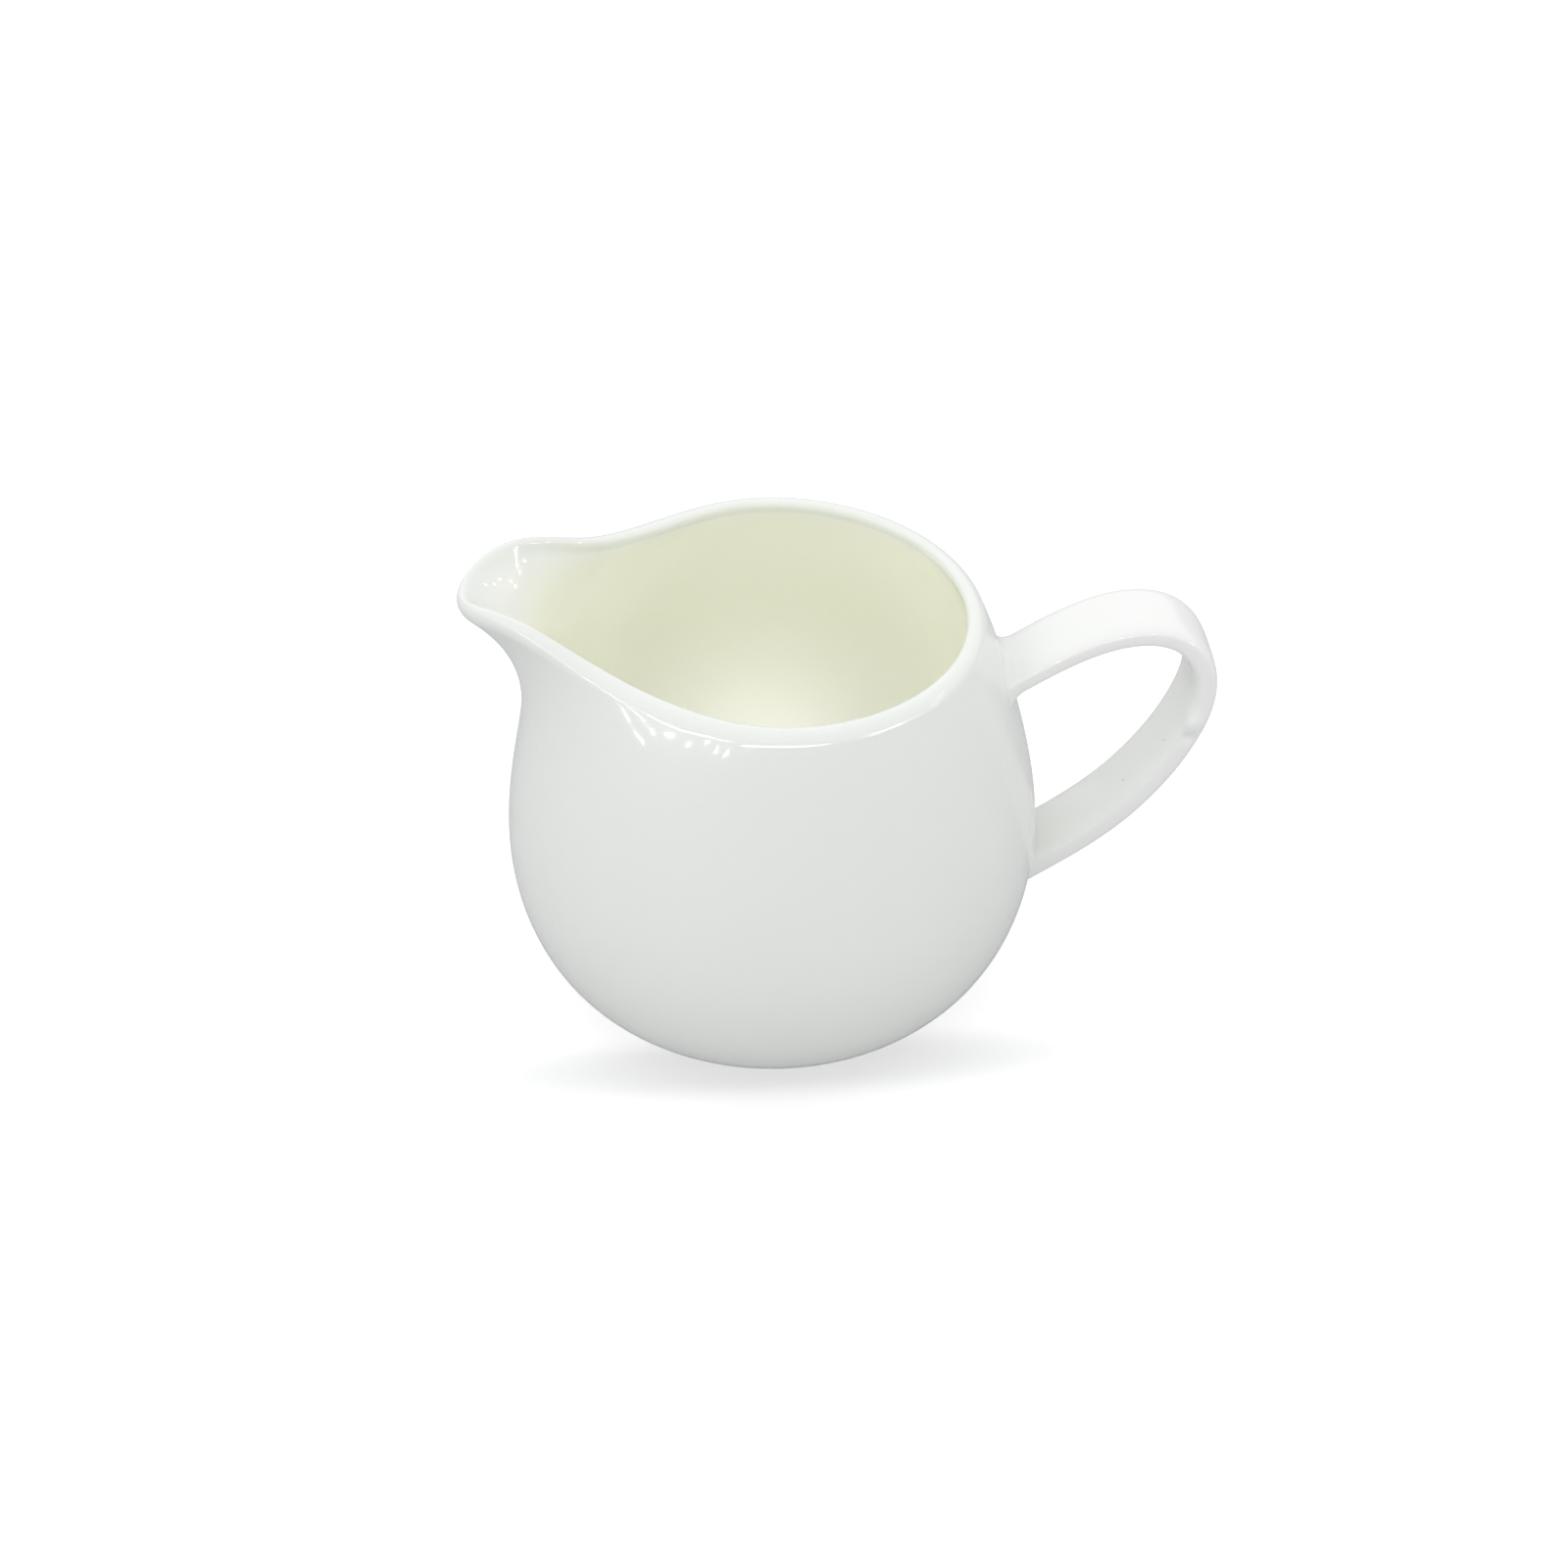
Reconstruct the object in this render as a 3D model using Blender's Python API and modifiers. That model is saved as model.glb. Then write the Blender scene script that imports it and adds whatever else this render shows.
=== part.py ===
"""A porcelain cream jug: a cast body with a pouring lip, a foot ring, and a strap handle luted on.

Metres, +Z up. The pouring lip points along -X and the handle along +X. The jug stands on the plane
z = 0, and the origin is midway between the tip of the lip and the back of the handle.
"""
import math

import bmesh
import bpy
from mathutils import Vector

# Driving dimensions, in metres.
BODY_AXIS_X = -0.0110       # the belly's upright axis
WALL = 0.0027               # wall thickness of the cast body
GAP = 0.0003                # clearance between two pieces that touch

# The belly's outer outline as (radius, height), bottom to rim: the control points of a smooth curve.
BELLY_OUTLINE = [
    (0.0, 0.0024), (0.018, 0.0024), (0.0351, 0.0044), (0.0444, 0.0256), (0.0421, 0.0472),
    (0.0359, 0.0669), (0.0329, 0.0740),
]
BELLY_POINTS = 20           # points along the outline
BELLY_STEPS = 80            # steps round the axis
RIM_ROUNDING = 0.46         # share of the wall rounded off along each edge of the rim

# The lip is pulled out of the round wall, and the rim rises towards it.
LIP_REACH = 0.0148          # how far the lip's tip stands out of the round rim
LIP_SPREAD = 23.1           # half-width of the lip, in degrees round the axis
LIP_BASE = 0.0431           # height where the wall starts to lean out
LIP_FLARE = 3.9             # how late the lean comes: a power of the height
NECK_PINCH = 0.0018         # how far the rim is drawn in on both sides of the lip
NECK_ANGLE = 57.3
NECK_SPREAD = 24.3
RIM_RISE = 0.0076           # how far the rim climbs at the lip
RISE_SPREAD = 24.3
TIP_DIP = 0.0052            # the tip itself dips again, so that it pours cleanly
DIP_SPREAD = 14.4
RIM_TILT = 0.0008           # the whole rim slopes down a little towards the handle
RISE_BASE = 0.0320          # height where the climb starts
RISE_POWER = 1.5

# The foot ring stands under the belly.
FOOT_OUTER = 0.0248
FOOT_INNER = 0.0216
FOOT_CHAMFER = 0.0006       # the resting rim's two bevelled edges
FOOT_DRAFT = 0.0008         # how much wider the ring is at the top

# The strap handle's centreline as (distance from the body's axis, height), top to bottom.
HANDLE_PATH = [
    (0.0414, 0.0638), (0.0494, 0.0690), (0.0593, 0.0714), (0.0666, 0.0670), (0.0692, 0.0587),
    (0.0659, 0.0486), (0.0604, 0.0392), (0.0531, 0.0312), (0.0446, 0.0254),
]
HANDLE_SECTIONS = 34
HANDLE_WIDTH = 0.0126
HANDLE_THICKNESS_TOP = 0.0036
HANDLE_THICKNESS_BOTTOM = 0.0045
STRAP_SIDES = 20            # points round the strap
STRAP_SQUARENESS = 3.4      # 2 is an ellipse, and higher is closer to a rectangle

# The slip joints run from the strap's ends to the wall, with a fillet all round.
JOINT_SECTIONS = 7
JOINT_EDGE = 0.0004         # thickness of the fillet's rim on the wall
JOINT_BURY = 0.0025         # how deep a joint starts inside the wall before it is cut to it
UPPER_FILLET = 0.0035
LOWER_FILLET = 0.0016

GLAZE = (0.80, 0.81, 0.77, 1.0)
BARE_CLAY = (0.78, 0.76, 0.71, 1.0)


def clear_scene():
    for thing in list(bpy.data.objects):
        bpy.data.objects.remove(thing, do_unlink=True)


def new_collection(name):
    collection = bpy.data.collections.new(name)
    bpy.context.scene.collection.children.link(collection)
    return collection


def porcelain(name, colour, roughness):
    material = bpy.data.materials.new(name)
    material.use_nodes = True
    shader = material.node_tree.nodes["Principled BSDF"]
    shader.inputs["Base Color"].default_value = colour
    shader.inputs["Roughness"].default_value = roughness
    shader.inputs["Metallic"].default_value = 0.0
    return material


def add_object(name, mesh, collection, material=None):
    piece = bpy.data.objects.new(name, mesh)
    collection.objects.link(piece)
    if material:
        mesh.materials.append(material)
        mesh.shade_smooth()
        mesh.set_sharp_from_angle(angle=math.radians(50))
    return piece


def smooth_curve(points, count):
    """Points along a cubic B-spline that starts and ends at the first and last control points."""
    spans = len(points) - 3
    knots = [0] * 3 + list(range(spans + 1)) + [spans] * 3

    def weight(i, degree, t):
        if degree == 0:
            return 1.0 if knots[i] <= t < knots[i + 1] else 0.0
        left = knots[i + degree] - knots[i]
        right = knots[i + degree + 1] - knots[i + 1]
        value = 0.0
        if left:
            value += (t - knots[i]) / left * weight(i, degree - 1, t)
        if right:
            value += (knots[i + degree + 1] - t) / right * weight(i + 1, degree - 1, t)
        return value

    curve = []
    for step in range(count - 1):
        t = spans * step / (count - 1)
        weights = [weight(i, 3, t) for i in range(len(points))]
        curve.append(tuple(sum(w * p[axis] for w, p in zip(weights, points)) for axis in (0, 1)))
    return curve + [points[-1]]


def bell(angle, centre, spread):
    return math.exp(-((angle - centre) / spread) ** 2)


def pull_lip(point):
    """Moves one point of the round belly to its place on the jug: the lip, the neck and the climb."""
    radius = math.hypot(point.x, point.y)
    if radius == 0:
        return point
    angle = math.degrees(math.acos(max(-1.0, min(1.0, -point.x / radius))))
    rim_height = BELLY_OUTLINE[-1][1]
    lean = max(0.0, min(1.0, (point.z - LIP_BASE) / (rim_height - LIP_BASE))) ** LIP_FLARE
    climb = max(0.0, min(1.0, (point.z - RISE_BASE) / (rim_height - RISE_BASE))) ** RISE_POWER
    reach = LIP_REACH * bell(angle, 0, LIP_SPREAD) - NECK_PINCH * bell(angle, NECK_ANGLE, NECK_SPREAD)
    rise = RIM_RISE / (1 + (angle / RISE_SPREAD) ** 4) - TIP_DIP * bell(angle, 0, DIP_SPREAD)
    rise += RIM_TILT * math.cos(math.radians(angle))
    stretch = (radius + reach * lean) / radius
    return Vector((point.x * stretch, point.y * stretch, point.z + rise * climb))


def turned_mesh(name, outline, closed=False):
    """The mesh of an outline turned round the Z axis by a Screw modifier."""
    mesh = bpy.data.meshes.new(name)
    edges = [(i, i + 1) for i in range(len(outline) - 1)]
    if closed:
        edges.append((len(outline) - 1, 0))
    mesh.from_pydata([(radius, 0.0, height) for radius, height in outline], edges, [])
    turned = bpy.data.objects.new(name, mesh)
    bpy.context.scene.collection.objects.link(turned)
    screw = turned.modifiers.new("Turn", "SCREW")
    screw.steps = BELLY_STEPS
    screw.render_steps = BELLY_STEPS
    screw.use_merge_vertices = True
    screw.merge_threshold = 0.00001
    bpy.context.view_layer.update()
    result = bpy.data.meshes.new_from_object(turned.evaluated_get(bpy.context.evaluated_depsgraph_get()))
    bpy.data.objects.remove(turned)
    bpy.data.meshes.remove(mesh)
    return result


def rim_edge(point, below):
    """The top of the rim: half a wall beyond the outline's end, in line with the wall under it."""
    outward = Vector((point.x, point.y, 0.0)).normalized()
    end = pull_lip(outward * BELLY_OUTLINE[-1][0] + Vector((0.0, 0.0, BELLY_OUTLINE[-1][1])))
    start = pull_lip(outward * below[0] + Vector((0.0, 0.0, below[1])))
    return end + (end - start).normalized() * (WALL / 2)


def make_body(collection, material):
    outline = smooth_curve(BELLY_OUTLINE, BELLY_POINTS)
    rim_radius, rim_height = BELLY_OUTLINE[-1]
    mesh = turned_mesh("jug_body", [(rim_radius, rim_height + WALL / 2)] + outline[::-1])
    for vertex in mesh.vertices:
        is_edge = vertex.co.z > rim_height + WALL / 4
        vertex.co = rim_edge(vertex.co, outline[-2]) if is_edge else pull_lip(vertex.co)
    body = add_object("jug_body", mesh, collection, material)
    body.location.x = BODY_AXIS_X
    wall = body.modifiers.new("Wall", "SOLIDIFY")
    wall.thickness = WALL
    wall.offset = -1.0
    wall.use_even_offset = True
    rim = body.modifiers.new("Rim", "BEVEL")
    rim.limit_method = "ANGLE"
    rim.angle_limit = math.radians(60)
    rim.width = WALL * RIM_ROUNDING
    rim.segments = 3


def belly_height(radius):
    """Height of the belly's underside at a radius, between the points of its outline."""
    curve = smooth_curve(BELLY_OUTLINE, BELLY_POINTS)
    for (inner, low), (outer, high) in zip(curve, curve[1:]):
        if inner <= radius <= outer:
            return low + (high - low) * (radius - inner) / (outer - inner)
    raise ValueError("radius outside the belly")


def make_foot_ring(collection, material):
    top_outer = FOOT_OUTER + FOOT_DRAFT
    top_inner = FOOT_INNER - FOOT_DRAFT
    seat = [top_inner + (top_outer - top_inner) * i / 4 for i in range(5)]
    outline = [
        (FOOT_OUTER, FOOT_CHAMFER), (FOOT_OUTER - FOOT_CHAMFER, 0.0),
        (FOOT_INNER + FOOT_CHAMFER, 0.0), (FOOT_INNER, FOOT_CHAMFER),
    ]
    outline += [(radius, belly_height(radius) - GAP) for radius in seat]
    mesh = turned_mesh("foot_ring", outline, closed=True)
    ring = add_object("foot_ring", mesh, collection, material)
    ring.location.x = BODY_AXIS_X


def strap_section(centre, direction, width, thickness):
    """One ring of points round the strap, square to a direction in the XZ plane."""
    outward = Vector((-direction.z, 0.0, direction.x))
    ring = []
    for side in range(STRAP_SIDES):
        angle = 2 * math.pi * side / STRAP_SIDES
        across = math.copysign(abs(math.cos(angle)) ** (2 / STRAP_SQUARENESS), math.cos(angle))
        up = math.copysign(abs(math.sin(angle)) ** (2 / STRAP_SQUARENESS), math.sin(angle))
        ring.append(centre + Vector((0.0, across * width / 2, 0.0)) + outward * (up * thickness / 2))
    return ring


def loft(name, rings):
    """A closed mesh through rings of equal point counts, with flat ends."""
    shape = bmesh.new()
    grid = [[shape.verts.new(point) for point in ring] for ring in rings]
    for first, second in zip(grid, grid[1:]):
        for i in range(len(first)):
            j = (i + 1) % len(first)
            shape.faces.new((first[i], first[j], second[j], second[i]))
    shape.faces.new(grid[0])
    shape.faces.new(grid[-1])
    bmesh.ops.recalc_face_normals(shape, faces=shape.faces)
    mesh = bpy.data.meshes.new(name)
    shape.to_mesh(mesh)
    shape.free()
    return mesh


def handle_line():
    """The strap's centre points and its direction at each, from the upper end to the lower end."""
    centres = [Vector((x, 0.0, z)) for x, z in smooth_curve(HANDLE_PATH, HANDLE_SECTIONS)]
    line = []
    for i, centre in enumerate(centres):
        before = centres[max(i - 1, 0)]
        after = centres[min(i + 1, len(centres) - 1)]
        line.append((centre, (after - before).normalized()))
    return line


def make_handle(collection, material):
    rings = []
    line = handle_line()
    for i, (centre, direction) in enumerate(line):
        share = i / (len(line) - 1)
        thickness = HANDLE_THICKNESS_TOP + (HANDLE_THICKNESS_BOTTOM - HANDLE_THICKNESS_TOP) * share
        rings.append(strap_section(centre, direction, HANDLE_WIDTH, thickness))
    handle = add_object("handle", loft("handle", rings), collection, material)
    handle.location.x = BODY_AXIS_X


def make_wall_cutter(collection):
    """A solid belly that is one gap bigger than the real one, to cut the joints to the wall."""
    grown = []
    curve = smooth_curve(BELLY_OUTLINE, BELLY_POINTS)
    for i, (radius, height) in enumerate(curve):
        before = curve[max(i - 1, 0)]
        after = curve[min(i + 1, len(curve) - 1)]
        slope = Vector((after[0] - before[0], after[1] - before[1])).normalized()
        grown.append((max(0.0, radius + slope.y * GAP) if i else 0.0, height - slope.x * GAP))
    grown.append((0.0, grown[-1][1]))
    mesh = turned_mesh("wall_cutter", grown[::-1])
    for vertex in mesh.vertices:
        vertex.co = pull_lip(vertex.co)
    cutter = add_object("wall_cutter", mesh, collection)
    cutter.location.x = BODY_AXIS_X
    cutter.hide_render = True
    cutter.display_type = "WIRE"
    return cutter


def belly_radius(height):
    """Radius of the belly's outer face at a height, between the points of its outline."""
    curve = smooth_curve(BELLY_OUTLINE, BELLY_POINTS)
    for (inner, low), (outer, high) in zip(curve, curve[1:]):
        if low <= height <= high:
            return inner + (outer - inner) * (height - low) / (high - low)
    raise ValueError("height outside the belly")


def wall_point(y, z, lift):
    """The point on the handle's side of the belly, a little proud of its face."""
    return Vector((math.sqrt((belly_radius(z) + lift) ** 2 - y ** 2), y, z))


def meet_wall(start, direction, lift):
    """Where a straight line from a point beside the belly runs into its face."""
    near, far = 0.0, 0.02
    for _ in range(30):
        middle = (near + far) / 2
        point = start + direction * middle
        if math.hypot(point.x, point.y) > belly_radius(point.z) + lift:
            near = middle
        else:
            far = middle
    return start + direction * near


def make_joint(name, end, inward, thickness, fillet, cutter, collection, material):
    """Slip between one end of the strap and the wall: a fillet all round it, cut to the wall."""
    lift = GAP + JOINT_EDGE
    starts = strap_section(end + inward * GAP, inward, HANDLE_WIDTH, thickness)
    centre = meet_wall(end, inward, lift)
    corners = [meet_wall(start, inward, lift) for start in starts]
    feet = []
    for corner in corners:
        away = Vector((0.0, corner.y, corner.z - centre.z)).normalized()
        feet.append(wall_point(corner.y + fillet * away.y, corner.z + fillet * away.z, lift))
    rings = []
    for step in range(JOINT_SECTIONS):
        t = step / (JOINT_SECTIONS - 1)
        bends = zip(starts, corners, feet)
        rings.append([a * (1 - t) ** 2 + b * (2 * t * (1 - t)) + c * t ** 2 for a, b, c in bends])
    rings.append([foot - Vector((lift + JOINT_BURY, 0.0, 0.0)) for foot in feet])
    joint = add_object(name, loft(name, rings), collection, material)
    joint.location.x = BODY_AXIS_X
    cut = joint.modifiers.new("Wall", "BOOLEAN")
    cut.operation = "DIFFERENCE"
    cut.solver = "EXACT"
    cut.object = cutter


def main():
    clear_scene()
    jug = new_collection("porcelain_cream_jug")
    cutters = new_collection("cutters")
    make_body(jug, porcelain("body_glaze", GLAZE, 0.08))
    make_foot_ring(jug, porcelain("foot_bare_clay", BARE_CLAY, 0.55))
    make_handle(jug, porcelain("handle_glaze", GLAZE, 0.08))
    cutter = make_wall_cutter(cutters)
    line = handle_line()
    upper_end, upper_direction = line[0]
    lower_end, lower_direction = line[-1]
    make_joint("upper_handle_joint", upper_end, -upper_direction, HANDLE_THICKNESS_TOP, UPPER_FILLET,
               cutter, jug, porcelain("upper_joint_glaze", GLAZE, 0.08))
    make_joint("lower_handle_joint", lower_end, lower_direction, HANDLE_THICKNESS_BOTTOM, LOWER_FILLET,
               cutter, jug, porcelain("lower_joint_glaze", GLAZE, 0.08))


main()
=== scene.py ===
"""The looks of a porcelain cream jug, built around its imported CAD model.

Metres, +Z up. The pouring lip points along -X and the strap handle along +X.
"""
import math

import bpy
import numpy as np
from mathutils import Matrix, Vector


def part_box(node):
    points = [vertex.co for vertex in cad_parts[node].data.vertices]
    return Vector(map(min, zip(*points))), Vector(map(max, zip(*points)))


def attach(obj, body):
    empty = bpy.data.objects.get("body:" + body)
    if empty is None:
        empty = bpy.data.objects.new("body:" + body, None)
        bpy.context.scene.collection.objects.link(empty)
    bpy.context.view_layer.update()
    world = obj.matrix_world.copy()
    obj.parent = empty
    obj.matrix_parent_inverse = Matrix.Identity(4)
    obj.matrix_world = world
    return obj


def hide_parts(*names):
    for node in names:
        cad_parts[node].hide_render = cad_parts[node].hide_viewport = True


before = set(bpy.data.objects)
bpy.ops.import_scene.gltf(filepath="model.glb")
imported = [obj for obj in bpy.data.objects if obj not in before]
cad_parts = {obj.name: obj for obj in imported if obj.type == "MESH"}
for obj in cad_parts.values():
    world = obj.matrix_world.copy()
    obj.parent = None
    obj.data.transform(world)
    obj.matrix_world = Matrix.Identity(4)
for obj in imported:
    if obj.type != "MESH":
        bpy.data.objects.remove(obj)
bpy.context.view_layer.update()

MM = 0.001
SPLINE_DEGREE = 3

# Where the jug stands, from the CAD model.
FOOT_LOW, FOOT_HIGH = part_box("foot_ring")
AXIS_X = (FOOT_LOW.x + FOOT_HIGH.x) / 2
GROUND = FOOT_LOW.z

# Shapes are in millimetres and degrees, and heights are above the ground.
# The belly's outer outline as (radius, height): the control points of a smooth curve.
BELLY_OUTLINE = [
    (0.0, 2.4), (18.0, 2.4), (35.1, 4.4), (44.4, 25.6), (42.1, 47.2), (35.9, 66.9), (32.9, 74.0),
]
WALL = 2.7
# The rim's rounding: how far down and across the wall it reaches outside, how far down inside,
# how far its crest stands above the outline's end, and the least gap to the outer face's last ring.
RIM_DOWN, RIM_ACROSS, RIM_INNER = 2.45, 1.95, 1.1
RIM_CREST, RIM_GAP = 1.35, 0.15
# The lip: how far it reaches out, how wide it is, where it starts on the wall, how late it flares.
LIP_REACH, LIP_SPREAD, LIP_BASE, LIP_FLARE = 14.8, 23.1, 43.1, 3.9
# The neck on both sides of the lip: how far it is pinched in, where, and how wide.
NECK_PINCH, NECK_ANGLE, NECK_SPREAD = 1.8, 57.3, 24.3
# The rim's rise at the lip: how high, how wide, where it starts on the wall, how late it climbs.
RIM_RISE, RISE_SPREAD, RISE_BASE, RISE_POWER = 7.6, 24.3, 32.0, 1.5
# The dip between the lip's two shoulders, and the rim's fall from the lip to the handle.
TIP_DIP, DIP_SPREAD = 5.2, 14.4
RIM_TILT = 0.8

# The foot ring's outer and inner radius and its rounded edge.
FOOT_OUTER, FOOT_INNER, FOOT_EDGE = 24.8, 21.6, 0.7
# Its fillets up to the belly: how far out from the ring's side, and how high. The outer one ends
# on the belly FOOT_FLARE out, and passes FOOT_MEET before that: how far out, and how far below it.
OUTER_FOOT_FILLET, INNER_FOOT_FILLET = [(0.7, 2.1), (0.35, 1.5)], [(0.3, 1.4), (0.7, 2.0)]
FOOT_FLARE, FOOT_MEET, INNER_FOOT_FLARE = 2.6, (1.5, 0.2), 2.2
# How deep the fillets' ends and the ring's top reach into the belly's wall.
FILLET_SINK, RING_SINK = 0.05, 0.6

# The strap handle's centreline as (distance from the body's axis, height), top to bottom.
HANDLE_PATH = [
    (41.4, 63.8), (49.4, 69.0), (59.3, 71.4), (66.6, 67.0), (69.2, 58.7), (65.9, 48.6),
    (60.4, 39.2), (53.1, 31.2), (44.6, 25.4),
]
HANDLE_WIDTH = 12.6
HANDLE_THICKNESS = (3.6, 4.5)
STRAP_SQUARENESS = 4.0
# Slip fillets at the strap's two ends: above, beside and below it.
UPPER_FILLETS, LOWER_FILLETS = (3.2, 2.8, 1.5), (1.1, 1.0, 1.1)
# How deep a fillet's foot and its last ring lie in the wall.
FOOT_SINK, LAST_SINK = 0.03, 0.8
# The least straight run before a fillet's turn. How far from the strap's end the wall is looked
# for, and how often that stretch is halved.
LEAST_RUN, WALL_REACH, HALVINGS = 0.05, 20.0, 40

# A run of slip on the strap's near edge: (where, how far it stands out or sinks in, how wide).
STRAP_MARKS = [((66.0, -6.3, 53.6), 0.80, 1.8), ((65.9, -6.3, 50.6), -0.50, 0.9)]

# Specks of iron in the clay: where, and radius, in millimetres.
BODY_SPECKS = [((30.5, -7.5, 74.0), 0.15), ((28.9, -9.9, 73.4), 0.12), ((-42.1, -10.2, 80.7), 0.15)]
STRAP_SPECKS = [((63.0, -3.3, 48.1), 0.13), ((57.2, -2.4, 39.4), 0.14)]
SPECK_COLOUR = (0.56, 0.46, 0.33)
# Where a speck starts and is full, in radii.
SPECK_EDGE = (1.6, 0.6)

# Colours in linear light.
# The belly's outside, the strap and the inside carry one glaze, set to different brightness: the
# belly's outside darker than the strap and the inside, as lit and shaded copies of one glaze,
# painted light and shade.
GLAZE, GLAZE_SHADE = (0.863, 0.883, 0.842), (0.853, 0.873, 0.832)
# A whiter white just inside the rim and down the lip: painted light.
LIP_PAINTED_LIGHT_WHITE = (0.935, 0.945, 0.915)
HANDLE_GLAZE, HANDLE_SHADE = (0.915, 0.922, 0.898), (0.903, 0.910, 0.886)
# The cream inside, and the paler cream it turns to towards the bottom of the bowl: painted light
# falling into the bowl.
CREAM, CREAM_DEEP_PAINTED_LIGHT = (0.946, 0.952, 0.845), (0.985, 0.987, 0.955)
PAPER, TABLE = (0.60, 0.60, 0.60), (0.56, 0.56, 0.575)
# The floors: their size in metres, how far the table lies below the paper in millimetres, and
# their finish.
FLOOR_SIZE, TABLE_DROP, PAPER_ROUGHNESS, PAPER_GLOSS = 6.0, 0.05, 0.9, 0.1
# The paper's glow, painted light: faint in a long patch before the foot, a painted shadow, and
# brighter beyond it. The painted shadow's middle, in millimetres, its stretch along the jug, and
# the distances between which the glow grows.
PAPER_PAINTED_GLOW, PAINTED_SHADOW_MIDDLE, PAINTED_SHADOW_STRETCH, PAINTED_SHADOW_DISTANCES = (0.39, 0.56), -24.5, 8.0, (3.0, 9.0)
# Bare clay under the foot, the heights between which its glaze starts, and its roughness, bare
# and glazed.
BARE_CLAY, BARE_CLAY_SHADE = (0.78, 0.76, 0.70), (0.70, 0.68, 0.62)
GLAZE_START, FOOT_ROUGHNESS = (0.30, 0.50), (0.75, 0.08)

# The glaze: its gloss, and how much light the body's clay lets in and how deep, in millimetres.
GLAZE_ROUGHNESS, GLAZE_IOR = 0.07, 1.5
BODY_SUBSURFACE, SUBSURFACE_RADIUS, SUBSURFACE_SCALE = 0.15, (1.0, 0.9, 0.7), 0.8
# Its waves, and the unevenness and grain of the clay, with the noise values that give its two
# colours.
WAVE_SCALE, WAVE_DETAIL, WAVE_STRENGTH, WAVE_HEIGHT = 180.0, 2.0, 0.05, 1.0
CLAY_SCALE, GRAIN_SCALE, CLAY_DETAIL, CLAY_STOPS = 45.0, 900.0, 3.0, (0.35, 0.65)

# How far below the rim the white glaze turns to cream inside, at the back and, further, in the lip.
# Just inside the rim and down the lip a whiter white is painted as painted light; it is reached in
# the first share of that way, given last.
TONE_DEPTH, TONE_AT_LIP, PAINTED_WHITE_SHARE = 3.5, 16.5, 0.25
# The heights between which the cream inside turns paler, downwards: painted light.
PAINTED_LIGHT_HEIGHTS = (16.0, 52.0)

# The studio's dome: its light below and above the horizon's band of elevations in degrees, and soft
# patches, each (azimuth, elevation, inner and outer radius in degrees, light added).
HORIZON, HORIZON_LIGHT, DOME_LIGHT = (5, 18), 0.57, 1.175
DOME_GLOWS = [
    (0, 90, 25, 55, (-0.33, -0.32, -0.29)),
    (-55, 40, 15, 50, (0.18, 0.18, 0.18)),
]
BACKDROP = (1, 1, 1)
# A soft spot lamp that reaches the far wall inside, through the mouth: its azimuth and elevation,
# distance in metres, cone in degrees and power, the place it points at in millimetres, and its soft
# edge and size in metres.
BOWL_LAMP, BOWL_TARGET = (0, 55, 0.80, 3.0, 8.0), (0.0, 35.5, 20.0)
BOWL_LAMP_BLEND, BOWL_LAMP_SIZE = 1.0, 0.01
# How often light bounces: diffuse bounces, and all.
BOUNCES = (12, 16)
# Strip lights a metre away: azimuth, elevation, width and height in metres, radiance.
STRIPS = [(-52, 19, 0.80, 0.012, 32.0), (0, 15, 0.90, 0.028, 52.0), (50, 12, 0.90, 0.016, 38.0)]
# Small round lamps a metre away: azimuth, elevation and size in metres.
SPARKLES = [
    (azimuth, elevation, 0.008) for azimuth, elevation in (
        (-60, 8), (-57, 13), (-53, 15), (-47, 14), (-41, 15), (-36, 13), (-31, 12),
        (44, 9), (48, 8), (53, 8), (58, 9),
    )
] + [
    (azimuth, elevation, 0.012) for azimuth, elevation in (
        (73, 4), (76, 9), (80, 6), (84, 12), (88, 7), (83, 22), (90, 25), (97, 30),
    )
]
SPARKLE_RADIANCE = 260.0
NECK_HEIGHT = 72.0

# The camera: what it looks at in millimetres from the axis and the ground, its azimuth and
# elevation in degrees, its distance in metres, its lens and sensor in millimetres, and its nearest
# view in metres.
CAMERA_TARGET, CAMERA_ANGLES, CAMERA_DISTANCE = (1.95, 0.0, 39.6), (-3.81, 38.86), 0.4074
LENS, SENSOR_WIDTH, CLIP_START = 57.5, 36.0, 0.01

# Mesh density: points round the jug, up the belly's outline and over the rim, then points round the
# strap, sections along it and along a fillet.
ANGLES = 320
OUTLINE_POINTS = 120
LIP_POINTS = 26
STRAP_POINTS = 64
STRAP_SECTIONS = 150
FILLET_SECTIONS = 20
# How many of a joint's last rings carry the wall's full tone, past the first that does.
WALL_TONE_RINGS = 3
# Points of the outline used to find the wall, where its side starts and where its underside ends.
FINE_POINTS, FINE_WALL, FINE_BOTTOM = 400, 40, 200
SHARP_ANGLE = 55


# ---------------------------------------------------------------- shapes

def spline(points, count):
    """Points along a cubic B-spline that starts and ends at the first and last control points."""
    points = np.array(points, float)
    spans = len(points) - SPLINE_DEGREE
    knots = np.array([0.0] * SPLINE_DEGREE + list(range(spans + 1)) + [spans] * SPLINE_DEGREE)
    t = np.linspace(0, spans, count)
    t[-1] -= 1e-9
    basis = [((t >= low) & (t < high)).astype(float) for low, high in zip(knots, knots[1:])]
    for degree in range(1, SPLINE_DEGREE + 1):
        raised = []
        for i in range(len(basis) - 1):
            left = knots[i + degree] - knots[i]
            right = knots[i + degree + 1] - knots[i + 1]
            value = np.zeros(count)
            if left:
                value += (t - knots[i]) / left * basis[i]
            if right:
                value += (knots[i + degree + 1] - t) / right * basis[i + 1]
            raised.append(value)
        basis = raised
    return np.array(basis).T @ points


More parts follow.
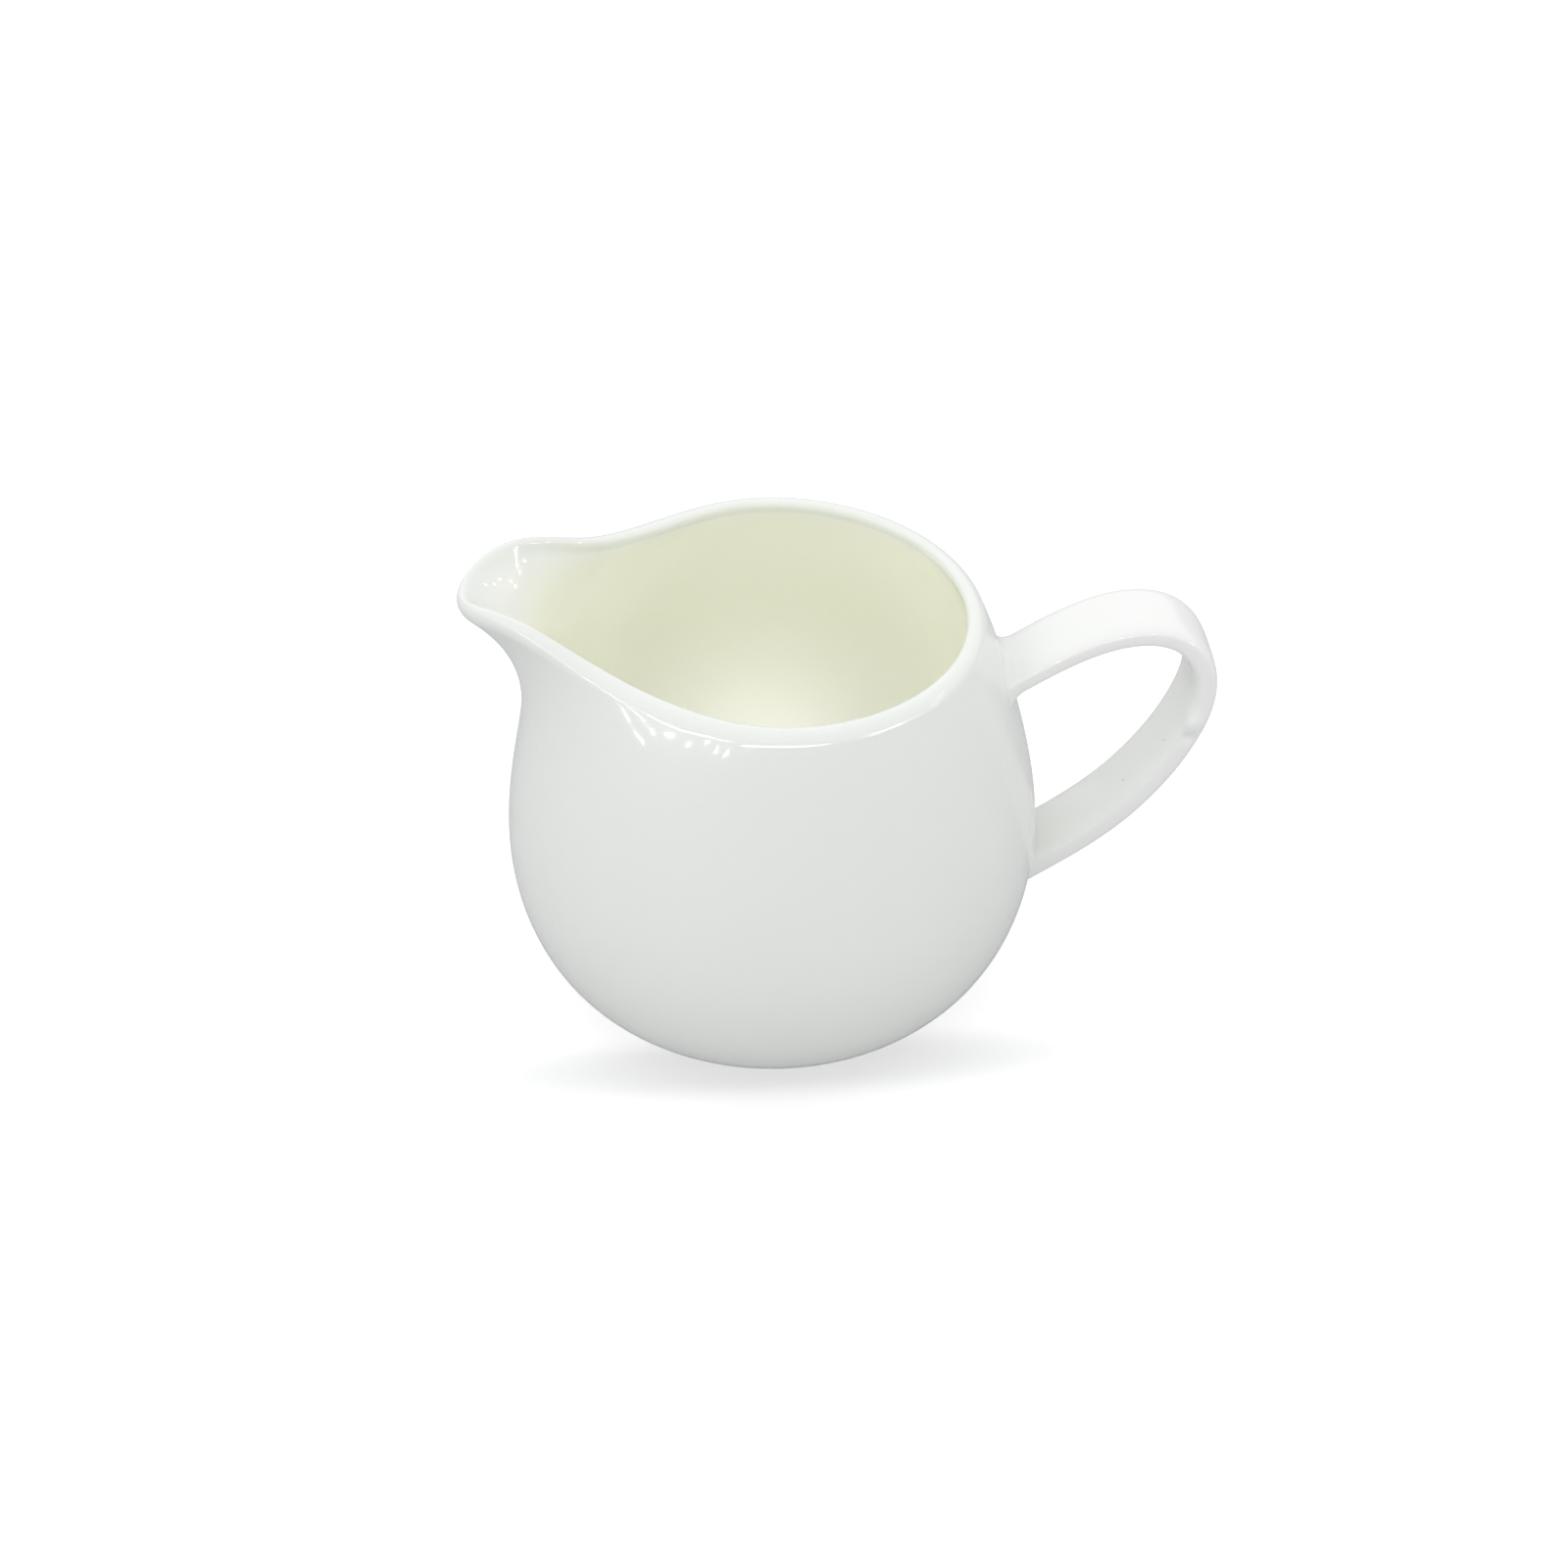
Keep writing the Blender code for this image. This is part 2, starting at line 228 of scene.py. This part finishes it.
def bell(angle, centre, spread):
    """A smooth hump: 1 at the centre, and fading out on both sides."""
    return np.exp(-((angle - centre) / spread) ** 2)


def unit(vectors):
    return vectors / np.maximum(np.linalg.norm(vectors, axis=-1, keepdims=True), 1e-12)


def ring_angles():
    return np.linspace(0, 2 * np.pi, ANGLES, endpoint=False)


def degrees_from_lip(angles):
    return np.degrees(np.abs((angles + np.pi) % (2 * np.pi) - np.pi))


def share_above(height, base, power):
    """How far a height has got from a base to the rim, from 0 to 1, gathered towards the rim."""
    rim = BELLY_OUTLINE[-1][1]
    return np.clip((height - base) / (rim - base), 0, 1) ** power


def belly_surface(outline, angles):
    """The outer face as rings of points with the lip pulled out, its normals, and the way up it."""
    from_lip = degrees_from_lip(angles)
    radius, height = outline[:, :1], outline[:, 1:]
    reach = LIP_REACH * bell(from_lip, 0, LIP_SPREAD)
    reach = reach - NECK_PINCH * bell(from_lip, NECK_ANGLE, NECK_SPREAD)
    rise = RIM_RISE / (1 + (from_lip / RISE_SPREAD) ** 4) - TIP_DIP * bell(from_lip, 0, DIP_SPREAD)
    rise = rise + RIM_TILT * np.cos(angles)
    radius = radius + reach * share_above(height, LIP_BASE, LIP_FLARE)
    height = height + rise * share_above(height, RISE_BASE, RISE_POWER)
    points = np.stack([-radius * np.cos(angles), radius * np.sin(angles), height], axis=2)
    along = unit(np.gradient(points, axis=0))
    around = np.roll(points, -1, axis=1) - np.roll(points, 1, axis=1)
    normals = unit(np.cross(along, around))
    outward = np.stack([-np.cos(angles), np.sin(angles), 0 * angles], axis=1)
    normals *= np.sign((normals * outward).sum(axis=2, keepdims=True) + 1e-9)
    normals[0] = (0, 0, -1)
    return points, normals, along


def lathe_faces(rings, around, closed=False):
    """Quads between rings of points that go round an axis."""
    faces = []
    for i in range(rings if closed else rings - 1):
        a, b = i * around, (i + 1) % rings * around
        for j in range(around):
            k = (j + 1) % around
            faces.append((a + j, b + j, b + k, a + k))
    return faces


def make_piece(name, points, faces, material, slot, replaces, tone=None):
    """A mesh piece, given in millimetres about the belly's axis, that stands for CAD nodes."""
    place = np.array(points).reshape(-1, 3) * MM + np.array((AXIS_X, 0.0, GROUND))
    mesh = bpy.data.meshes.new(name)
    mesh.from_pydata(place.tolist(), [], faces)
    if tone is not None:
        values = mesh.attributes.new("tone", "FLOAT", "POINT").data
        values.foreach_set("value", tone.astype(np.float32).ravel())
    mesh.materials.append(material)
    mesh.validate()
    mesh.shade_smooth()
    mesh.set_sharp_from_angle(angle=math.radians(SHARP_ANGLE))
    piece = bpy.data.objects.new(name, mesh)
    bpy.context.scene.collection.objects.link(piece)
    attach(piece, "root")
    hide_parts(replaces)


def make_body(material):
    """The cast wall: the outer face up to the rim, over the rim, and down the inner face."""
    angles = ring_angles()
    outline = spline(BELLY_OUTLINE, OUTLINE_POINTS)
    outer, normals, along = belly_surface(outline, angles)
    above = np.linalg.norm(outline - outline[-1], axis=1)
    kept = int((above > RIM_DOWN - RIM_CREST + RIM_GAP).sum())
    turn = np.linspace(0, np.pi, LIP_POINTS)[:, None, None]
    outside = turn < np.pi / 2
    across = np.where(outside, RIM_ACROSS, WALL - RIM_ACROSS) * np.cos(turn) - RIM_ACROSS
    up = np.where(outside, RIM_DOWN, RIM_INNER) * (np.sin(turn) - 1) + RIM_CREST
    edge = outer[-1] + across * normals[-1] + up * along[-1]
    inner = (outer - WALL * normals)[::-1]
    rings = np.concatenate([outer[1:kept], edge, inner[:-1]])
    # The tone: 0 outside and over the rim, rising with depth inside. It sets the white-to-cream
    # change and the painted-light white band, which both reach deeper in the lip.
    tone = np.concatenate([np.zeros(kept - 1 + LIP_POINTS), np.ones(len(inner) - 1)])
    depth = np.maximum(0.0, inner[0, :, 2] - rings[:, :, 2])
    lip = bell(degrees_from_lip(angles), 0, LIP_SPREAD)
    tone = tone[:, None] * depth / (TONE_DEPTH + TONE_AT_LIP * lip)
    faces = lathe_faces(len(rings), ANGLES)
    middles = [outer[0].mean(axis=0), inner[-1].mean(axis=0)]
    points = np.concatenate([rings.reshape(-1, 3), middles])
    tone = np.append(tone.ravel(), (0.0, tone[-1].max()))
    bottom, floor = len(points) - 2, len(points) - 1
    last = (len(rings) - 1) * ANGLES
    for j in range(ANGLES):
        k = (j + 1) % ANGLES
        faces.append((bottom, j, k))
        faces.append((floor, last + k, last + j))
    make_piece("jug_body_glazed", points, faces, material, "body_glaze", "jug_body", tone)


def belly_radius(height):
    """The outer face's radius on the handle's side, where the rim sits lowest."""
    radius, level = spline(BELLY_OUTLINE, FINE_POINTS)[FINE_WALL:].T
    return np.interp(height, level - RIM_TILT * share_above(level, RISE_BASE, RISE_POWER), radius)


def belly_underside(radius):
    """The height of the belly's outer face near the bottom."""
    curve = spline(BELLY_OUTLINE, FINE_POINTS)[:FINE_BOTTOM]
    return np.interp(radius, curve[:, 0], curve[:, 1])


def arc(across, up, radius, start, end, count=8):
    """Points round a centre, from one angle in degrees to another."""
    turn = np.radians(np.linspace(start, end, count))
    return [(across + radius * math.cos(a), up + radius * math.sin(a)) for a in turn]


def make_foot_ring(material):
    """A turned ring with soft edges and a fillet up to the belly on both sides."""
    def below_belly(radius, drop):
        return radius, belly_underside(radius) - drop

    outline = [
        below_belly(FOOT_OUTER + FOOT_FLARE, -FILLET_SINK),
        below_belly(FOOT_OUTER + FOOT_MEET[0], FOOT_MEET[1]),
    ]
    outline += [(FOOT_OUTER + out, height) for out, height in OUTER_FOOT_FILLET]
    outline += arc(FOOT_OUTER - FOOT_EDGE, FOOT_EDGE, FOOT_EDGE, 0, -90)
    outline += arc(FOOT_INNER + FOOT_EDGE, FOOT_EDGE, FOOT_EDGE, -90, -180)
    outline += [(FOOT_INNER - out, height) for out, height in INNER_FOOT_FILLET]
    outline += [
        below_belly(FOOT_INNER - INNER_FOOT_FLARE, -FILLET_SINK),
        below_belly(FOOT_INNER, -RING_SINK), below_belly(FOOT_OUTER, -RING_SINK),
    ]
    angles = ring_angles()
    rings = np.array([
        [(radius * math.cos(a), radius * math.sin(a), height) for a in angles]
        for radius, height in outline
    ])
    faces = lathe_faces(len(rings), ANGLES, closed=True)
    make_piece("foot_ring_turned", rings, faces, material, "foot_clay", "foot_ring")


def strap_section(centre, direction, width, thickness):
    """A ring of points round the strap, square to a direction in the XZ plane."""
    def squared(side):
        return np.sign(side) * np.abs(side) ** (2 / STRAP_SQUARENESS)

    turn = np.linspace(0, 2 * np.pi, STRAP_POINTS, endpoint=False)
    across = np.outer(squared(np.cos(turn)) * width / 2, (0, 1, 0))
    outward = np.array((-direction[2], 0.0, direction[0]))
    return centre + across + np.outer(squared(np.sin(turn)) * thickness / 2, outward)


def handle_line():
    """The strap's centreline and its direction along it, at each section."""
    flat = spline(HANDLE_PATH, STRAP_SECTIONS)
    centres = np.stack([flat[:, 0], 0 * flat[:, 0], flat[:, 1]], axis=1)
    return centres, unit(np.gradient(centres, axis=0))


def capped(rings):
    """Points and outward faces of a closed tube through rings of points."""
    count = len(rings[0])
    faces = lathe_faces(len(rings), count)
    faces.append(tuple(range(count)))
    faces.append(tuple(reversed(range((len(rings) - 1) * count, len(rings) * count))))
    return np.array(rings), [face[::-1] for face in faces]


def make_handle(material):
    """The strap, thicker towards its lower end, with the slip marks on its near edge."""
    centres, directions = handle_line()
    share = np.linspace(0, 1, STRAP_SECTIONS)
    thick = HANDLE_THICKNESS[0] + (HANDLE_THICKNESS[1] - HANDLE_THICKNESS[0]) * share
    sections = zip(centres, directions, thick)
    rings = np.array([strap_section(c, d, HANDLE_WIDTH, t) for c, d, t in sections])
    outward = unit(rings - centres[:, None])
    for where, lift, spread in STRAP_MARKS:
        away = np.linalg.norm(rings - np.array(where), axis=2, keepdims=True)
        rings = rings + lift * np.exp(-(away / spread) ** 2) * outward
    make_piece("handle_strap", *capped(rings), material, "handle_glaze", "handle")


def meet_wall(starts, direction):
    """Where straight lines from points beside the belly run into its outer face."""
    near, far = np.zeros(len(starts)), np.full(len(starts), WALL_REACH)
    for _ in range(HALVINGS):
        middle = (near + far) / 2
        points = starts + middle[:, None] * direction
        outside = np.hypot(points[:, 0], points[:, 1]) > belly_radius(points[:, 2])
        near = np.where(outside, middle, near)
        far = np.where(outside, far, middle)
    return starts + near[:, None] * direction


def in_wall(y, z, sink):
    """Points a little inside the belly's outer face."""
    return np.stack([np.sqrt((belly_radius(z) - sink) ** 2 - y ** 2), y, z], axis=1)


def make_joint(name, node, end, inward, thickness, fillets, material):
    """Slip at one end of the strap: it goes on straight, then runs out on the wall in a fillet."""
    above, beside, below = fillets
    starts = strap_section(end, inward, HANDLE_WIDTH, thickness)
    centre = meet_wall(end[None], inward)[0]
    corners = meet_wall(starts, inward)
    away = unit(np.stack([0 * corners[:, 0], corners[:, 1], corners[:, 2] - centre[2]], axis=1))
    up = away[:, 2:]
    size = beside + (above - beside) * np.maximum(up, 0) ** 2
    size = size + (below - beside) * np.maximum(-up, 0) ** 2
    foot = corners + size * away
    feet = in_wall(foot[:, 1], foot[:, 2], FOOT_SINK)
    reach = np.linalg.norm(corners - starts, axis=1, keepdims=True)
    turns = corners - np.minimum(reach - LEAST_RUN, size) * inward
    rings = [starts, (starts + turns) / 2]
    for t in np.linspace(0, 1, FILLET_SECTIONS):
        rings.append((1 - t) ** 2 * turns + 2 * t * (1 - t) * corners + t ** 2 * feet)
    rings.append(in_wall(feet[:, 1], feet[:, 2], LAST_SINK))
    rise = np.clip(np.arange(len(rings)) / (len(rings) - WALL_TONE_RINGS - 1), 0, 1)
    tone = np.repeat(rise, STRAP_POINTS)
    make_piece(name, *capped(rings), material, "joint_glaze", node, tone)


# ---------------------------------------------------------------- materials

def new_material(name):
    material = bpy.data.materials.new(name)
    material.use_nodes = True
    return material, material.node_tree.nodes, material.node_tree.links


def object_place(nodes):
    return nodes.new("ShaderNodeTexCoord").outputs["Object"]


def height_of(nodes, links, place):
    split = nodes.new("ShaderNodeSeparateXYZ")
    links.new(place, split.inputs["Vector"])
    return split.outputs["Z"]


def vector_math(nodes, links, operation, vector):
    """A vector node with its first input linked. Its other inputs are set by the caller."""
    node = nodes.new("ShaderNodeVectorMath")
    node.operation = operation
    links.new(vector, node.inputs[0])
    return node


def map_range(nodes, links, value, start, end, low=0.0, high=1.0, smooth=True):
    """A number that goes from low to high while the value goes from start to end."""
    node = nodes.new("ShaderNodeMapRange")
    node.interpolation_type = "SMOOTHSTEP" if smooth else "LINEAR"
    for name, number in (("From Min", start), ("From Max", end), ("To Min", low), ("To Max", high)):
        node.inputs[name].default_value = number
    links.new(value, node.inputs["Value"])
    return node.outputs["Result"]


def mix_colours(nodes, links, factor, *colours):
    """A mix of two colours, each of them a socket or a fixed colour."""
    node = nodes.new("ShaderNodeMix")
    node.data_type = "RGBA"
    links.new(factor, node.inputs["Factor"])
    for name, colour in zip("AB", colours):
        if isinstance(colour, bpy.types.NodeSocket):
            links.new(colour, node.inputs[name])
        else:
            node.inputs[name].default_value = (*colour, 1)
    return node.outputs["Result"]


def wall_tone(nodes):
    """The tone that the mesh carries: see make_body and make_joint."""
    node = nodes.new("ShaderNodeAttribute")
    node.attribute_name = "tone"
    return node.outputs["Fac"]


def clay_tone(nodes, links, pale, deep, scale=CLAY_SCALE):
    """Very slight unevenness in the colour of the clay under the glaze."""
    noise = nodes.new("ShaderNodeTexNoise")
    noise.inputs["Scale"].default_value = scale
    noise.inputs["Detail"].default_value = CLAY_DETAIL
    ramp = nodes.new("ShaderNodeValToRGB")
    for stop, position, colour in zip(ramp.color_ramp.elements, CLAY_STOPS, (deep, pale)):
        stop.position = position
        stop.color = (*colour, 1)
    links.new(object_place(nodes), noise.inputs["Vector"])
    links.new(noise.outputs["Fac"], ramp.inputs["Fac"])
    return ramp.outputs["Color"]


def add_specks(nodes, links, colour, specks):
    """Tiny dark specks at fixed places in a colour."""
    place = object_place(nodes)
    for where, radius in specks:
        away = vector_math(nodes, links, "DISTANCE", place)
        away.inputs[1].default_value = Vector(where) * MM + Vector((AXIS_X, 0.0, GROUND))
        start, end = (share * radius * MM for share in SPECK_EDGE)
        speck = map_range(nodes, links, away.outputs["Value"], start, end)
        colour = mix_colours(nodes, links, speck, colour, SPECK_COLOUR)
    return colour


def finish_glaze(nodes, links, subsurface):
    """Clear gloss with the faint waviness of a fired glaze, over clay that lets some light in."""
    shader = nodes["Principled BSDF"]
    shader.inputs["Roughness"].default_value = GLAZE_ROUGHNESS
    shader.inputs["IOR"].default_value = GLAZE_IOR
    shader.inputs["Subsurface Weight"].default_value = subsurface
    shader.inputs["Subsurface Radius"].default_value = SUBSURFACE_RADIUS
    shader.inputs["Subsurface Scale"].default_value = SUBSURFACE_SCALE * MM
    waves = nodes.new("ShaderNodeTexNoise")
    waves.inputs["Scale"].default_value = WAVE_SCALE
    waves.inputs["Detail"].default_value = WAVE_DETAIL
    bump = nodes.new("ShaderNodeBump")
    bump.inputs["Strength"].default_value = WAVE_STRENGTH
    bump.inputs["Distance"].default_value = WAVE_HEIGHT * MM
    links.new(object_place(nodes), waves.inputs["Vector"])
    links.new(waves.outputs["Fac"], bump.inputs["Height"])
    links.new(bump.outputs["Normal"], shader.inputs["Normal"])


def body_glaze():
    """White outside, a whiter band of painted light just inside the rim and down the lip, and cream
    inside, painted paler with depth as painted light falling into the bowl.
    """
    material, nodes, links = new_material("body_glaze_look")
    outside = clay_tone(nodes, links, GLAZE, GLAZE_SHADE)
    tone = wall_tone(nodes)
    height = height_of(nodes, links, object_place(nodes))
    # Paler cream towards the bottom inside: painted light falling into the bowl.
    low, high = (GROUND + level * MM for level in PAINTED_LIGHT_HEIGHTS)
    deep = map_range(nodes, links, height, high, low)
    inside = mix_colours(nodes, links, deep, CREAM, CREAM_DEEP_PAINTED_LIGHT)
    # A whiter band just inside the rim and down the lip: painted light.
    lip = map_range(nodes, links, tone, 0.0, PAINTED_WHITE_SHARE)
    outside = mix_colours(nodes, links, lip, outside, LIP_PAINTED_LIGHT_WHITE)
    colour = mix_colours(nodes, links, map_range(nodes, links, tone, 0.0, 1.0), outside, inside)
    colour = add_specks(nodes, links, colour, BODY_SPECKS)
    links.new(colour, nodes["Principled BSDF"].inputs["Base Color"])
    finish_glaze(nodes, links, BODY_SUBSURFACE)
    return material


def handle_glaze(name):
    """The strap's glaze, which takes on the wall's where a joint's tone rises to 1."""
    material, nodes, links = new_material(name)
    # The strap's copy of the glaze is set lighter than the wall's: painted light.
    strap = clay_tone(nodes, links, HANDLE_GLAZE, HANDLE_SHADE)
    wall = clay_tone(nodes, links, GLAZE, GLAZE_SHADE)
    colour = mix_colours(nodes, links, wall_tone(nodes), strap, wall)
    colour = add_specks(nodes, links, colour, STRAP_SPECKS)
    links.new(colour, nodes["Principled BSDF"].inputs["Base Color"])
    finish_glaze(nodes, links, 0.0)
    return material


def foot_clay():
    """Glazed flanks, and bare matte clay on the resting rim."""
    material, nodes, links = new_material("foot_clay_look")
    shader = nodes["Principled BSDF"]
    height = height_of(nodes, links, object_place(nodes))
    low, high = (GROUND + level * MM for level in GLAZE_START)
    glazed = map_range(nodes, links, height, low, high, smooth=False)
    grain = clay_tone(nodes, links, BARE_CLAY, BARE_CLAY_SHADE, GRAIN_SCALE)
    rough = map_range(nodes, links, glazed, 0.0, 1.0, *FOOT_ROUGHNESS, smooth=False)
    links.new(mix_colours(nodes, links, glazed, grain, GLAZE), shader.inputs["Base Color"])
    links.new(rough, shader.inputs["Roughness"])
    return material


# ---------------------------------------------------------------- studio

def make_floor(name, colour, drop):
    """A plain paper floor. Returns it with its material's nodes and links."""
    bpy.ops.mesh.primitive_plane_add(size=FLOOR_SIZE, location=(0, 0, GROUND - drop * MM))
    floor = bpy.context.object
    floor.name = name
    material, nodes, links = new_material(name + "_paper")
    shader = nodes["Principled BSDF"]
    shader.inputs["Base Color"].default_value = (*colour, 1)
    shader.inputs["Roughness"].default_value = PAPER_ROUGHNESS
    shader.inputs["Specular IOR Level"].default_value = PAPER_GLOSS
    floor.data.materials.append(material)
    return floor, nodes, links


def make_floors():
    """White paper that the camera sees, with a painted-light glow that is faint in a painted shadow
    before the foot, and the greyer table that throws light back on the jug.
    """
    paper, nodes, links = make_floor("floor", PAPER, 0.0)
    shader = nodes["Principled BSDF"]
    # The paper's glow is painted light, and it is faint in a long patch before the foot: a painted
    # shadow.
    squeeze = vector_math(nodes, links, "MULTIPLY_ADD", object_place(nodes))
    squeeze.inputs[1].default_value = (1 / PAINTED_SHADOW_STRETCH, 1, 1)
    squeeze.inputs[2].default_value = (-AXIS_X / PAINTED_SHADOW_STRETCH, -PAINTED_SHADOW_MIDDLE * MM, 0)
    distance = vector_math(nodes, links, "LENGTH", squeeze.outputs["Vector"]).outputs["Value"]
    start, end = (limit * MM for limit in PAINTED_SHADOW_DISTANCES)
    # Painted light, dimmed into a painted shadow near the patch's middle.
    glow = map_range(nodes, links, distance, start, end, *PAPER_PAINTED_GLOW)
    links.new(glow, shader.inputs["Emission Strength"])
    shader.inputs["Emission Color"].default_value = (1, 1, 1, 1)
    paper.visible_diffuse = paper.visible_glossy = paper.visible_transmission = False
    paper.visible_shadow = False
    table = make_floor("table", TABLE, TABLE_DROP)[0]
    table.visible_camera = False


def compass(azimuth, elevation):
    """A unit direction: azimuth 0 is the near side, 90 the handle's side and 180 the far side."""
    azimuth, elevation = math.radians(azimuth), math.radians(elevation)
    level = math.cos(elevation)
    return Vector((math.sin(azimuth) * level, -math.cos(azimuth) * level, math.sin(elevation)))


def add_glow(nodes, links, direction, azimuth, elevation, inner, outer, light):
    """A round patch of the dome that adds, or takes away, coloured light, with a soft edge."""
    nearness = vector_math(nodes, links, "DOT_PRODUCT", direction)
    nearness.inputs[1].default_value = compass(azimuth, elevation)
    start, end = (math.cos(math.radians(angle)) for angle in (outer, inner))
    patch = map_range(nodes, links, nearness.outputs["Value"], start, end)
    tint = nodes.new("ShaderNodeVectorMath")
    tint.operation = "SCALE"
    tint.inputs[0].default_value = light
    links.new(patch, tint.inputs["Scale"])
    return tint.outputs["Vector"]


def make_world():
    """A white dome, dimmer near the horizon, with soft patches, before a plain white backdrop."""
    world = bpy.data.worlds.new("studio")
    bpy.context.scene.world = world
    world.use_nodes = True
    nodes, links = world.node_tree.nodes, world.node_tree.links
    direction = nodes.new("ShaderNodeTexCoord").outputs["Generated"]
    start, end = (math.sin(math.radians(angle)) for angle in HORIZON)
    height = height_of(nodes, links, direction)
    total = map_range(nodes, links, height, start, end, HORIZON_LIGHT, DOME_LIGHT)
    for glow in DOME_GLOWS:
        add = vector_math(nodes, links, "ADD", total)
        links.new(add_glow(nodes, links, direction, *glow), add.inputs[1])
        total = add.outputs["Vector"]
    seen = nodes.new("ShaderNodeLightPath").outputs["Is Camera Ray"]
    backdrop = mix_colours(nodes, links, seen, total, BACKDROP)
    links.new(backdrop, nodes["Background"].inputs["Color"])
    nodes["Background"].inputs["Strength"].default_value = 1.0


def place_lamp(light, target, direction, distance):
    """Hang a light in a direction from a target, turned towards it."""
    lamp = bpy.data.objects.new(light.name, light)
    bpy.context.scene.collection.objects.link(lamp)
    lamp.location = target + direction * distance
    lamp.rotation_euler = direction.to_track_quat("Z", "Y").to_euler()
    return lamp


def make_lamp(name, azimuth, elevation, width, height, radiance):
    """A flat lamp a metre from the jug's neck that only the gloss shows."""
    neck = Vector((AXIS_X, 0.0, GROUND + NECK_HEIGHT * MM))
    light = bpy.data.lights.new(name, "AREA")
    light.shape = "ELLIPSE"
    light.size, light.size_y = width, height
    light.energy = radiance * math.pi * math.pi * width * height / 4
    place_lamp(light, neck, compass(azimuth, elevation), 1.0).visible_diffuse = False


def make_lamps():
    for number, strip in enumerate(STRIPS):
        make_lamp("strip_%d" % number, *strip)
    for number, (azimuth, elevation, size) in enumerate(SPARKLES):
        make_lamp("sparkle_%d" % number, azimuth, elevation, size, size, SPARKLE_RADIANCE)


def make_bowl_lamp():
    """A soft spot down into the bowl, kept out of the glaze's reflections."""
    azimuth, elevation, distance, cone, power = BOWL_LAMP
    light = bpy.data.lights.new("bowl_spot", "SPOT")
    light.energy = power
    light.spot_size = math.radians(cone)
    light.spot_blend = BOWL_LAMP_BLEND
    light.shadow_soft_size = BOWL_LAMP_SIZE
    target = Vector((AXIS_X, 0.0, GROUND)) + Vector(BOWL_TARGET) * MM
    place_lamp(light, target, compass(azimuth, elevation), distance).visible_glossy = False


def let_light_bounce():
    """White china throws light between its own walls many times before it leaves the bowl."""
    cycles = bpy.context.scene.cycles
    cycles.diffuse_bounces, cycles.max_bounces = BOUNCES


def make_camera():
    """Above the near side, looking down into the mouth."""
    target = Vector((AXIS_X, 0.0, GROUND)) + Vector(CAMERA_TARGET) * MM
    back = compass(*CAMERA_ANGLES)
    camera = bpy.data.objects.new("camera", bpy.data.cameras.new("camera"))
    bpy.context.scene.collection.objects.link(camera)
    camera.location = target + back * CAMERA_DISTANCE
    camera.rotation_euler = (-back).to_track_quat("-Z", "Y").to_euler()
    camera.data.sensor_width = SENSOR_WIDTH
    camera.data.lens = LENS
    camera.data.clip_start = CLIP_START
    bpy.context.scene.camera = camera


def main():
    make_camera()
    make_world()
    make_lamps()
    make_bowl_lamp()
    make_floors()
    let_light_bounce()
    bpy.context.scene.view_settings.view_transform = "Standard"
    make_body(body_glaze())
    make_foot_ring(foot_clay())
    make_handle(handle_glaze("handle_glaze_look"))
    joint = handle_glaze("joint_glaze_look")
    centres, directions = handle_line()
    make_joint(
        "upper_joint_slip", "upper_handle_joint", centres[0], -directions[0],
        HANDLE_THICKNESS[0], UPPER_FILLETS, joint,
    )
    make_joint(
        "lower_joint_slip", "lower_handle_joint", centres[-1], directions[-1],
        HANDLE_THICKNESS[1], LOWER_FILLETS, joint,
    )


main()
